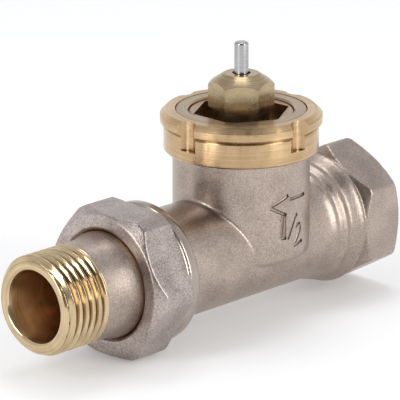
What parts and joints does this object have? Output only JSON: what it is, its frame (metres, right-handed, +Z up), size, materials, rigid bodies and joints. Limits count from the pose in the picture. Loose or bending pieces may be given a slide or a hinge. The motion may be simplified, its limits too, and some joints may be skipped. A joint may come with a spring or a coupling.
{
  "type": "radiator control valve",
  "caption": "Straight radiator control valve with a female inlet, a clamp collar with a spring-loaded pin on top, and a union tailpiece.",
  "frame": {"origin": "where the pipe axis crosses the stem axis", "axes": "+X along the pipe axis out of the female inlet, -X out of the tailpiece, +Z up the stem out of the pin's tip"},
  "size_m": [0.0962, 0.0336, 0.0586],
  "materials": {
    "nickel_cast": "forged brass, sand-blasted, satin nickel plate",
    "tail_brass": "turned brass at the thread, nickel plate behind it",
    "turned_brass": "bare brass, turned",
    "gland_brass": "bare brass, turned, slightly tarnished",
    "pin_steel": "polished stainless steel",
    "spring_steel": "drawn stainless spring wire",
    "plain_brass": "bare brass, turned",
    "seal_rubber": "moulded rubber, matt black",
    "white_polymer": "off-white sealing polymer"
  },
  "bodies": {
    "housing": {"valve_body": "nickel_cast", "collar_ring": "turned_brass", "valve_insert": "gland_brass", "insert_o_ring": "seal_rubber", "gland_nut": "gland_brass", "gland_o_ring": "seal_rubber", "seal_washer": "white_polymer", "pin_seal": "seal_rubber", "guide_bush": "white_polymer", "spindle_guide": "plain_brass", "return_spring": "spring_steel"},
    "stem": {"pressure_pin": "pin_steel", "spindle": "pin_steel", "spring_clip": "spring_steel", "spring_plate": "plain_brass", "disc_holder": "plain_brass", "seat_disc": "seal_rubber", "disc_washer": "plain_brass", "disc_nut": "plain_brass"},
    "tail": {"tailpiece": "tail_brass", "tail_o_ring": "seal_rubber"},
    "nut": {"union_nut": "nickel_cast"}
  },
  "joints": [
    {"name": "stem_slide", "type": "slide", "parent": "housing", "child": "stem", "axis": [0, 0, -1], "range_m": [0, 0.0027], "stiffness_N_per_m": 8000, "springref_m": -0.004, "deforming": ["return_spring"]},
    {"name": "tail_slide", "type": "slide", "parent": "housing", "child": "tail", "axis": [-1, 0, 0], "range_m": [0, 0.00545]},
    {"name": "nut_turn", "type": "hinge", "parent": "tail", "child": "nut", "pos_m": [-0.035, 0, 0], "axis": [-1, 0, 0], "range_deg": [0, 1080]}
  ],
  "couplings": [
    {"joint": "tail_slide", "follows": "nut_turn", "m_per_rad": 0.00028871}
  ]
}
